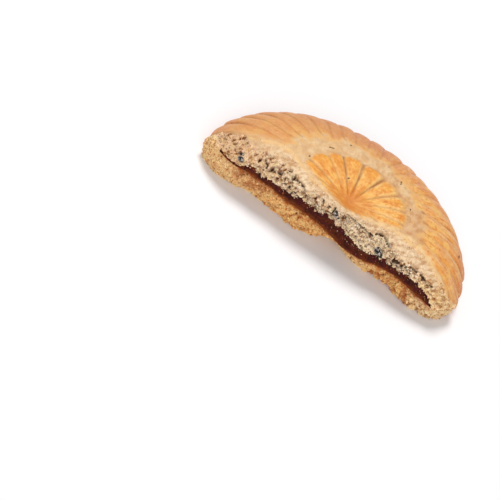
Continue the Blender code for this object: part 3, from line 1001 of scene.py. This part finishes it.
def build_seeds():
    """Black seeds in the break, each a wedge-sided drop."""
    shape, sides = ball(4)
    x, y, z = shape.T
    bodies = []
    for number, (seed_x, seed_z, axis, length, turn) in enumerate(SEEDS):
        bearing = np.arctan2(y, x)
        ridge = 1.0 - 0.16 * np.abs(np.sin(1.5 * (bearing + turn)))
        taper = 1.0 - 0.38 * z - 0.12 * z**2
        wide = SEED_RADIUS * np.hypot(x, y) * ridge * taper
        body = stack(wide * np.cos(bearing), wide * np.sin(bearing), 0.5 * z) * length
        pock, _, _ = grains(body + 9.0 * number, 0.26, 81)
        body = body * (1.0 - 0.05 * (1.0 - np.clip(pock / 0.6, 0, 1))[:, None])
        frame = np.array(Vector((0, 0, 1)).rotation_difference(Vector(axis)).to_matrix())
        seed_y, _, out = break_frame(np.float64(seed_x), np.float64(seed_z))
        middle = np.array((seed_x, seed_y, seed_z)) + (0.24 * length - 0.75) * out
        bodies.append(body @ frame.T + middle)
    return joined("break_seeds", np.stack(bodies), sides)


def crust_top(x, y, nudge=0.1):
    """Height and direction of the baked top at a point of the disc."""
    def height(x, y):
        bearing = np.arctan2(y, x)
        radius = np.hypot(x, y) / oval(bearing)
        level = dome_height(np.minimum(radius, RADIUS - 0.01))
        depth = flute_depth(radius, level, bearing)[0]
        relief = petal_relief(x, y)[0]
        return float(level - depth + (relief if radius < FLUTE_START else 0.0))
    x, y = np.float64(x), np.float64(y)
    here = height(x, y)
    slope_x, slope_y = (height(x + nudge, y) - here), (height(x, y + nudge) - here)
    return here, Vector((-slope_x / nudge, -slope_y / nudge, 1.0)).normalized()


def build_specks():
    """Scraps of seed and spice baked into the crust, nearly flush with it."""
    shape, sides = ball(3)
    bodies = []
    for number, (x, y, turn, length, width) in enumerate(SPECKS):
        height, out = crust_top(x, y)
        along = Vector((math.cos(math.radians(turn)), math.sin(math.radians(turn)), 0.0))
        along = (along - along.dot(out) * out).normalized()
        frame = np.array((along, out.cross(along), out))
        body = shape * (0.5 * length, 0.5 * width, SPECK_HALF_THICKNESS)
        body = body * (1.0 + 0.25 * noise(shape * 1.5 + 5.0 * number, 1.0, 82))[:, None]
        bodies.append(body @ frame + np.array((x, y, height - SPECK_DEPTH)))
    return joined("crust_specks", np.stack(bodies), sides)


# ---------------------------------------------------------------- materials

def linear(steps):
    """Linear colour for a colour given as 0 to 255 steps on a screen."""
    shares = [step / 255.0 for step in steps]
    bright = [s / 12.92 if s <= 0.04045 else ((s + 0.055) / 1.055) ** 2.4 for s in shares]
    return (*bright, 1.0)


class Value:
    """An output in a material's node tree, used like a number or as the share of a mix."""

    def __init__(self, looks, socket):
        self.looks = looks
        self.socket = socket

    def __add__(self, other):
        return self.looks.maths("ADD", self, other)

    def __sub__(self, other):
        return self.looks.maths("SUBTRACT", self, other)

    def __rsub__(self, other):
        return self.looks.maths("SUBTRACT", other, self)

    def __mul__(self, other):
        return self.looks.maths("MULTIPLY", self, other)

    def rise(self, low, high):
        """0 below low to 1 above high, smoothly."""
        return self.looks.add("ShaderNodeMapRange", {
            "Value": self, "From Min": low, "From Max": high}, interpolation_type="SMOOTHSTEP")

    def fall(self, low, high):
        """1 below low to 0 above high, smoothly."""
        return 1.0 - self.rise(low, high)

    def span(self, low, high, at_low, at_high):
        """at_low below low to at_high above high, in a straight line."""
        return self.looks.add("ShaderNodeMapRange", {
            "Value": self, "From Min": low, "From Max": high, "To Min": at_low, "To Max": at_high})

    def mix(self, first, second):
        """The first colour where this is 0, the second where it is 1."""
        return self.looks.add("ShaderNodeMix", {0: self, 6: first, 7: second}, 2, data_type="RGBA")


class Looks:
    """A material's node tree, with short calls that return the value to read."""

    def __init__(self, name):
        self.material = bpy.data.materials.new(name)
        self.material.use_nodes = True
        self.tree = self.material.node_tree

    def add(self, kind, values, output=0, **settings):
        made = self.tree.nodes.new(kind)
        for key, value in settings.items():
            setattr(made, key, value)
        for key, value in values.items():
            self.put(made.inputs[key], value)
        return Value(self, made.outputs[output])

    def put(self, socket, value):
        """Links a value, or sets a constant. Three steps of 0 to 255 make a colour."""
        if isinstance(value, Value):
            self.tree.links.new(value.socket, socket)
        elif socket.type == "RGBA" and len(value) == 3:
            socket.default_value = linear(value)
        else:
            socket.default_value = value

    def field(self, name):
        return self.add("ShaderNodeAttribute", {}, 2, attribute_name=name)

    def place(self, scale=(1.0, 1.0, 1.0)):
        """Object coordinates in millimetres, stretched by scale."""
        made = self.add("ShaderNodeTexCoord", {}, 3)
        stretch = tuple(1000.0 * value for value in scale)
        return self.add("ShaderNodeVectorMath", {0: made, 1: stretch}, operation="MULTIPLY")

    def axes(self):
        """Values of the object coordinates in millimetres."""
        made = self.add("ShaderNodeSeparateXYZ", {0: self.place()})
        return [Value(self, part) for part in made.socket.node.outputs]

    def join(self, x, y, z=0.0):
        return self.add("ShaderNodeCombineXYZ", {0: x, 1: y, 2: z})

    def length(self, x, y):
        return self.add("ShaderNodeVectorMath", {0: self.join(x, y)}, 1, operation="LENGTH")

    def noise(self, size, detail=3.0, place=None, rough=0.5):
        return self.add("ShaderNodeTexNoise", {
            "Vector": place or self.place(), "Scale": 1.0 / size, "Detail": detail,
            "Roughness": rough})

    def dots(self, size):
        """Distance to the nearest of scattered points about size apart, in sizes."""
        return self.add("ShaderNodeTexVoronoi", {"Vector": self.place(), "Scale": 1.0 / size})

    def maths(self, operation, first, second):
        return self.add("ShaderNodeMath", {0: first, 1: second}, operation=operation)

    def bump(self, height, distance, strength, after=None):
        values = {"Height": height, "Distance": distance * MM, "Strength": strength}
        if after is not None:
            values["Normal"] = after
        return self.add("ShaderNodeBump", values)

    def finish(self, **inputs):
        shader = self.tree.nodes["Principled BSDF"]
        for key, value in inputs.items():
            self.put(shader.inputs[key.replace("_", " ")], value)
        return self.material


def flute_colour(looks, axes, broad, patchy):
    """Gold to tan across each flute as painted light and shade, redder low on the shoulder, with
    short orange streaks and a painted highlight on the crests.
    """
    across, deep, height = axes
    wander = patchy - 0.5
    speck = looks.noise(0.8, rough=0.6) - 0.5
    # Painted light and shade: each flute paler on one side than on the other
    side = looks.field("side") + wander * 1.2
    colour = side.rise(0.1, 0.9).mix((238, 160, 74), (232, 170, 108))
    colour = broad.rise(0.48, 0.62).mix(colour, (244, 188, 100))
    low = (height + wander * 14.0).fall(6.0, 13.0)
    behind = (deep + wander * 16.0).rise(18.0, 33.0) * 0.7
    colour = (looks.maths("MAXIMUM", low, behind) * 0.75).mix(colour, (218, 126, 70))
    around = looks.maths("ARCTAN2", deep, across) * 32.0
    outward = looks.length(across, deep) * 0.45 + height * 0.50
    strokes = looks.noise(0.9, 3.0, looks.join(around, outward), 0.6) - 0.5
    brisk = across.rise(-14.0, 12.0) * 0.45 + 0.55
    streaks = looks.field("streak") * 0.25 + wander * 0.5 + speck * 1.8 + strokes * (brisk * 2.2)
    colour = (streaks.rise(0.05, 0.40) * 0.72).mix(colour, (214, 114, 46))
    colour = ((streaks * -1.0).rise(0.12, 0.40) * 0.60).mix(colour, (248, 202, 142))
    far_back = deep.rise(12.0, 26.0) * across.fall(-2.0, 14.0)
    colour = (far_back * 0.55).mix(colour, (208, 136, 86))
    colour = (across.fall(-24.0, -6.0) * 0.45).mix(colour, (218, 144, 82))
    # Painted highlight along the crests, with random pale flecks
    crest = looks.field("crest") * patchy.rise(0.45, 0.65) * 0.40 + speck.rise(0.10, 0.30)
    return (crest * 0.55).mix(colour, (248, 204, 146))


def petal_colour(looks, axes, broad, mottled, soft):
    """The richest gold, amber towards the tips and cream on the flanks, partly pale dough and partly
    a painted highlight, with flecks of both.
    """
    across, deep, _ = axes
    beside = across - ROSETTE_X
    beyond = deep - ROSETTE_Y
    around = looks.maths("ARCTAN2", beyond, beside) * 14.0
    outward = looks.length(beside, beyond)
    rays = looks.noise(1.3, 3.0, looks.join(around, outward * 0.30), 0.6) * 0.6 + mottled * 0.4
    colour = rays.rise(0.36, 0.64).mix((224, 128, 38), (252, 190, 90))
    amber = looks.field("amber")
    cream = outward.rise(4.0, 9.0) * (1.0 - amber) * mottled.rise(0.38, 0.64)
    colour = (cream * 0.45).mix(colour, (250, 196, 106))
    colour = (amber * broad.rise(0.32, 0.66) * 0.75).mix(colour, (238, 154, 44))
    # Painted highlight, partly paler dough, on the flanks beside the grooves
    colour = (looks.field("flank") * 0.8).mix(colour, (248, 204, 132))
    dabs = looks.noise(1.1, 4.0, looks.join(around * 1.6, outward * 0.9), 0.6) - 0.5
    share = soft * 0.42 + 0.40
    colour = (dabs.rise(0.03, 0.16) * share).mix(colour, (220, 122, 34))
    return ((dabs * -1.0).rise(0.03, 0.16) * share).mix(colour, (255, 212, 132))


def crust_material():
    looks = Looks("baked_crust")
    broad = looks.noise(5.0)
    patchy = looks.noise(2.2, 4.0, rough=0.6)
    fine = looks.noise(0.55, 4.0, rough=0.65)
    mottled = looks.noise(2.0, 3.0, looks.place((1.0, 0.6, 1.0)), 0.55)
    floury = mottled * 0.7 + fine * 0.3
    across, deep, height = looks.axes()
    axes = (across, deep + AXIS_TO_ORIGIN, height)
    # Pale dough of the ring, a little floury
    colour = across.rise(-8.0, 16.0).mix((220, 174, 124), (202, 144, 94))
    colour = mottled.rise(0.30, 0.64).mix(colour, (226, 184, 134))
    colour = floury.rise(0.44, 0.72).mix(colour, (240, 206, 160))
    colour = (across.rise(10.0, 24.0) * 0.35).mix(colour, (206, 142, 90))
    # Flutes round it, and the petals inside it, both with ragged edges
    ragged = (patchy - 0.5) * 1.3
    flute = looks.field("flute")
    colour = (flute + ragged).rise(-0.05, 0.55).mix(colour, (238, 186, 116))
    golden = flute_colour(looks, axes, broad, patchy)
    colour = (flute + ragged).rise(0.20, 1.10).mix(colour, golden)
    colour = (looks.field("accent") * 0.6).mix(colour, (186, 102, 46))
    petal = looks.field("petal")
    soft = across.rise(2.0, 14.0)
    edge = petal + ragged - soft * 0.15
    colour = (edge.rise(-0.15, 0.45) * soft).mix(colour, (236, 184, 112))
    colour = edge.rise(0.10, 0.90).mix(colour, petal_colour(looks, axes, broad, mottled, soft))
    colour = (looks.field("centre") * patchy.rise(0.15, 0.55)).mix(colour, (216, 130, 46))
    # Grooves painted brown, partly their own colour and partly painted shade, and the paler torn rim
    # of the break
    groove = looks.field("groove") * floury.rise(0.15, 0.60)
    colour = (groove * 0.9).mix(colour, (158, 86, 36))
    rim = across.rise(-24.0, -8.0).mix((232, 188, 134), (244, 205, 150))
    colour = (looks.field("torn") * patchy.rise(0.2, 0.6)).mix(colour, rim)
    # Small dark flecks
    fleck = looks.dots(0.9).fall(0.05, 0.26) * looks.noise(0.9, 0.0).rise(0.52, 0.62)
    colour = (fleck * 0.5).mix(colour, (150, 100, 66))
    washed = looks.maths("MAXIMUM", flute, petal)
    normal = looks.bump(fine, 0.20, 0.9)
    normal = looks.bump(looks.noise(1.4, 4.0, rough=0.6), 0.40, 0.6, normal)
    return looks.finish(
        Base_Color=colour, Roughness=(washed + fine * 0.5).span(0.2, 1.3, 0.66, 0.42),
        Normal=normal, Specular_IOR_Level=0.35)


def torn_colour(looks, left):
    """The smoother torn band along the top of the break."""
    worn = looks.field("fibre") * 0.6 + looks.noise(0.8, 5.0, rough=0.65) * 0.6
    colour = worn.rise(0.38, 0.74).mix((200, 150, 102), (250, 222, 184))
    dashes = looks.noise(0.4, 4.0, rough=0.7).rise(0.60, 0.68)
    colour = (dashes * 0.5).mix(colour, (140, 92, 56))
    return (left * 0.45).mix(colour, (208, 160, 110))


def crumb_material(name, loose):
    """Pale crumbs: cream above the filling, golden below it, browner in stains, with painted shade
    in pits, seams, pores, cracks and gaps, and under loose grains.
    """
    looks = Looks(name)
    upper, tone, stain = looks.field("upper"), looks.field("tone"), looks.field("stain")
    along, _, _ = looks.axes()
    left = along.fall(-34.0, -12.0)
    right = along.rise(26.0, 36.0)
    # Towards the right end the crumbs are paler, partly their own colour and partly painted light
    # where the break there turns away from the lamps
    high = right.mix(left.mix((255, 246, 216), (255, 224, 182)), (255, 234, 182))
    low = right.mix(left.mix((255, 220, 150), (255, 230, 172)), (255, 236, 190))
    tint = looks.noise(1.2, 2.0).rise(0.42, 0.58).mix((244, 214, 146), (255, 218, 198))
    pale = (upper * 0.35).mix(upper.mix(low, high), tint)
    dark = upper.mix((245, 170, 94), (246, 194, 136))
    # Painted light: the crumbs between x = 1 and 20 mm are paler where the break turns more into
    # shade
    bright = along.rise(1.0, 8.0) * along.fall(13.0, 20.0)
    dark = (bright * 0.8).mix(dark, (255, 226, 178))
    dark = right.mix(dark, (250, 204, 140))
    dark = (left * 0.6).mix(dark, (244, 190, 128))
    mottle = tone * 0.65 + looks.noise(0.32, rough=0.6) * 0.7
    colour = mottle.rise(0.30, 0.85).mix(dark, pale)
    clean = 1.0 - tone.rise(0.50, 0.72) * 0.55
    colour = (stain * (clean * 0.95)).mix(colour, (194, 98, 36))
    colour = (stain.rise(0.72, 1.0) * 0.7).mix(colour, (128, 66, 36))
    # Colour of the painted shade
    shade = right.mix(upper.mix((172, 84, 30), (126, 60, 20)), (172, 102, 54))
    # Painted shade: the darkest-toned grains take the shade colour, standing in for shadowed gaps
    # between crumbs
    gap_shade_grains = (tone - left * 0.07).fall(0.07, 0.13)
    colour = (gap_shade_grains * 0.75).mix(colour, shade)
    if not loose:
        # Painted shade in small pores
        pore_shade = looks.dots(0.62).fall(0.18, 0.42) * looks.noise(0.9, 2.0).rise(0.46, 0.56)
        colour = (pore_shade * 0.75).mix(colour, shade)
        colour = looks.field("band").mix(colour, torn_colour(looks, left))
        colour = looks.field("skin").mix(colour, (244, 200, 140))
    # Painted shade in hollows, pits and seams, and under loose grains
    colour = (looks.field("sunk") * 0.85).mix(colour, shade)
    if not loose:
        # Painted shade in cracks and holes, nearly black
        pit = upper.mix((108, 50, 18), (62, 27, 9))
        colour = (looks.field("deep") * 0.95).mix(colour, pit)
    normal = looks.bump(looks.noise(0.28, rough=0.6), 0.12, 0.8)
    return looks.finish(
        Base_Color=colour, Roughness=0.8, Normal=normal, Specular_IOR_Level=0.06)


def filling_material():
    """Dark maroon date paste with purple and brown patches, browner along its lower edge."""
    looks = Looks("date_filling_paste")
    cloudy = looks.noise(3.2, 4.0)
    fine = looks.noise(0.6)
    patches = looks.noise(1.7, 2.0, looks.place((0.8, 1.0, 1.0)))
    left = looks.axes()[0].fall(-24.0, -10.0)
    bright = left.mix((88, 32, 14), (108, 44, 8))
    colour = cloudy.rise(0.35, 0.65).mix((56, 16, 10), bright)
    colour = (patches.rise(0.52, 0.62) * 0.75).mix(colour, (76, 22, 26))
    colour = (patches.fall(0.38, 0.47) * 0.5).mix(colour, (92, 38, 14))
    colour = fine.rise(0.52, 0.70).mix(colour, (36, 11, 8))
    # Browner towards the bottom of the filling, so that its top is darker
    browner_low = (looks.field("level") + patches * 0.9).fall(-0.55, 0.05)
    colour = (browner_low * 0.6).mix(colour, (134, 66, 26))
    normal = looks.bump(looks.noise(0.5), 0.14, 0.6)
    normal = looks.bump(cloudy, 0.5, 0.35, normal)
    return looks.finish(
        Base_Color=colour, Roughness=fine.span(0.3, 0.7, 0.46, 0.62), Normal=normal,
        Specular_IOR_Level=0.08)


def seed_material():
    looks = Looks("black_seed")
    fine = looks.noise(0.3)
    # Pale patches on the seeds: partly dust, partly painted glints
    dust_and_glint = looks.noise(0.6, 4.0, rough=0.7).rise(0.51, 0.57)
    colour = (dust_and_glint * 0.9).mix(fine.mix((16, 13, 12), (36, 30, 27)), (228, 216, 202))
    return looks.finish(
        Base_Color=colour, Roughness=0.45, Normal=looks.bump(fine, 0.06, 0.6),
        Specular_IOR_Level=0.2)


def speck_material():
    looks = Looks("dark_speck")
    colour = looks.noise(0.3).mix((104, 66, 38), (150, 112, 76))
    return looks.finish(Base_Color=colour, Roughness=0.6, Specular_IOR_Level=0.3)


def floor_material():
    looks = Looks("pale_floor")
    return looks.finish(Base_Color=(0.965, 0.95, 0.958, 1.0), Roughness=0.9, Specular_IOR_Level=0.0)


# ---------------------------------------------------------------- camera and light

CAMERA_AZIMUTH = math.radians(1.04)
CAMERA_ELEVATION = math.radians(37.70)
CAMERA_ROLL = math.radians(33.49)
CAMERA_DISTANCE = 0.43
FOCAL_PIXELS = 1481.9
IMAGE_PIXELS = 500
AXIS_PIXEL = (324.1, 231.8)
SENSOR_MM = 36.0
SKY_STRENGTH = 0.30
FLOOR_SIZE = 2.0


def camera_axes():
    """The photograph's viewing directions: right, up and back, as the picture shows them."""
    a, e, roll = CAMERA_AZIMUTH, CAMERA_ELEVATION, CAMERA_ROLL
    back = Vector((math.sin(a) * math.cos(e), -math.cos(a) * math.cos(e), math.sin(e)))
    level = Vector((math.cos(a), math.sin(a), 0.0))
    rise = back.cross(level)
    right = math.cos(roll) * level + math.sin(roll) * rise
    up = -math.sin(roll) * level + math.cos(roll) * rise
    return right, up, back


def add_camera():
    right, up, back = camera_axes()
    centre = Vector((0.0, -AXIS_TO_ORIGIN * MM, 0.0))
    data = bpy.data.cameras.new("camera")
    data.sensor_width = SENSOR_MM
    data.lens = FOCAL_PIXELS * SENSOR_MM / IMAGE_PIXELS
    half = 0.5 * IMAGE_PIXELS
    aside = (half - AXIS_PIXEL[0]) / FOCAL_PIXELS
    above = (AXIS_PIXEL[1] - half) / FOCAL_PIXELS
    forward = (aside * right + above * up - back).normalized()
    right = (right - right.dot(forward) * forward).normalized()
    rise = right.cross(forward)
    data.clip_start = 0.01
    camera = new_object("camera", data)
    turn = Matrix((right, rise, -forward)).transposed().to_4x4()
    camera.matrix_world = Matrix.Translation(centre + CAMERA_DISTANCE * back) @ turn
    bpy.context.scene.camera = camera


def add_light(name, direction, distance, size, energy):
    data = bpy.data.lights.new(name, "AREA")
    data.shape = "DISK"
    data.size = size
    data.energy = energy
    light = new_object(name, data)
    light.location = Vector(direction).normalized() * distance
    light.rotation_euler = Vector(direction).to_track_quat("Z", "Y").to_euler()


def add_studio():
    right, up, back = camera_axes()
    world = bpy.data.worlds.new("studio")
    world.use_nodes = True
    background = world.node_tree.nodes["Background"]
    background.inputs["Color"].default_value = (1.0, 1.0, 1.0, 1.0)
    background.inputs["Strength"].default_value = SKY_STRENGTH
    bpy.context.scene.world = world
    bpy.context.scene.view_settings.view_transform = "Standard"
    key = 0.22 * back + 0.75 * up + 0.30 * right
    add_light("key", key, distance=1.2, size=0.5, energy=9.4)
    add_light("fill", back - 0.22 * up + 0.08 * right, distance=1.3, size=0.9, energy=7.8)
    mesh = bpy.data.meshes.new("floor")
    corners = [(FLOOR_SIZE * x, FLOOR_SIZE * y, 0) for x, y in ((-1, -1), (1, -1), (1, 1), (-1, 1))]
    mesh.from_pydata(corners, [], [(0, 1, 2, 3)])
    mesh.materials.append(floor_material())
    floor = new_object("floor", mesh)


# ---------------------------------------------------------------- pieces

# The share of the torn band from which the edge with the crust is smooth, and how far from the
# dough's surface a point of its break may be to count as part of it
SMOOTH_BAND = 0.6
BARE_GAP = 0.05


def mark_edges(mesh, slot):
    """Marks the edge between crust and crumbs as sharp where the break isn't smooth."""
    slots = {}
    for face in mesh.polygons:
        for key in face.edge_keys:
            slots.setdefault(key, set()).add(slot[face.index])
    band = get_field(mesh, "band")
    flags = [
        bool(len(slots.get(edge.key, ())) == 2 and band[list(edge.key)].max() < SMOOTH_BAND)
        for edge in mesh.edges]
    mesh.attributes.new("sharp_edge", "BOOLEAN", "EDGE").data.foreach_set("value", flags)


def make_dough(box):
    """Makes the dough. Returns the points of its break and their fields."""
    disc = build_disc()
    pocket = build_filling("pocket", POCKET_GROWTH)
    cutter, points, fields = build_cutter("break", break_surface, BREAK_STEP)
    mesh = cut(disc, [pocket, cutter])
    slot, used = slots_of(mesh)
    copy_fields(mesh, np.flatnonzero(used[:, 0]), disc, CRUST_FIELDS)
    copy_fields(mesh, np.flatnonzero(used[:, 2]), cutter, tuple(fields))
    mesh.materials.clear()
    for material in (crust_material(), crumb_material("pocket_crumb", False),
                     crumb_material("broken_crumb", False)):
        mesh.materials.append(material)
    mesh.polygons.foreach_set("material_index", slot)
    mark_edges(mesh, slot)
    tree = bvhtree.BVHTree.FromPolygons(
        get_points(mesh).tolist(), [list(face.vertices) for face in mesh.polygons])
    gaps = [tree.find_nearest(Vector(point))[3] for point in points.reshape(-1, 3)]
    fields["bare"] = np.array(gaps) > BARE_GAP
    piece = place("dough_half", mesh, box)
    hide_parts("dough")
    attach(piece, "root")
    return points, fields


def make_filling(box):
    cutter, _, _ = build_cutter("filling_break", filling_surface, FILLING_STEP)
    mesh = cut(build_filling("filling", 0.0), [cutter])
    mesh.materials.clear()
    mesh.materials.append(filling_material())
    mesh.polygons.foreach_set("material_index", [0] * len(mesh.polygons))
    x, y, z = get_points(mesh).T
    middle, thick = filling_section(x, y)
    set_field(mesh, "level", 2.0 * (z - middle) / thick)
    piece = place("filling_half", mesh, box)
    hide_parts("date_filling")
    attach(piece, "root")


def make_crumbs(box, points, fields):
    material = crumb_material("loose_crumb", True)
    for kind in CRUMB_KINDS:
        mesh = build_crumbs(points, fields, kind, box)
        mesh.materials.append(material)
        piece = place(kind.name, mesh, box, False)
        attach(piece, "root")


def make_seeds(box):
    mesh = build_seeds()
    mesh.materials.append(seed_material())
    piece = place("break_seeds", mesh, box)
    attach(piece, "root")


def make_specks(box):
    mesh = build_specks()
    mesh.materials.append(speck_material())
    piece = place("crust_specks", mesh, box)
    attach(piece, "root")


def main():
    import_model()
    cad_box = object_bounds()
    add_camera()
    add_studio()
    points, fields = make_dough(cad_box)
    make_filling(cad_box)
    make_crumbs(cad_box, points, fields)
    make_seeds(cad_box)
    make_specks(cad_box)


main()
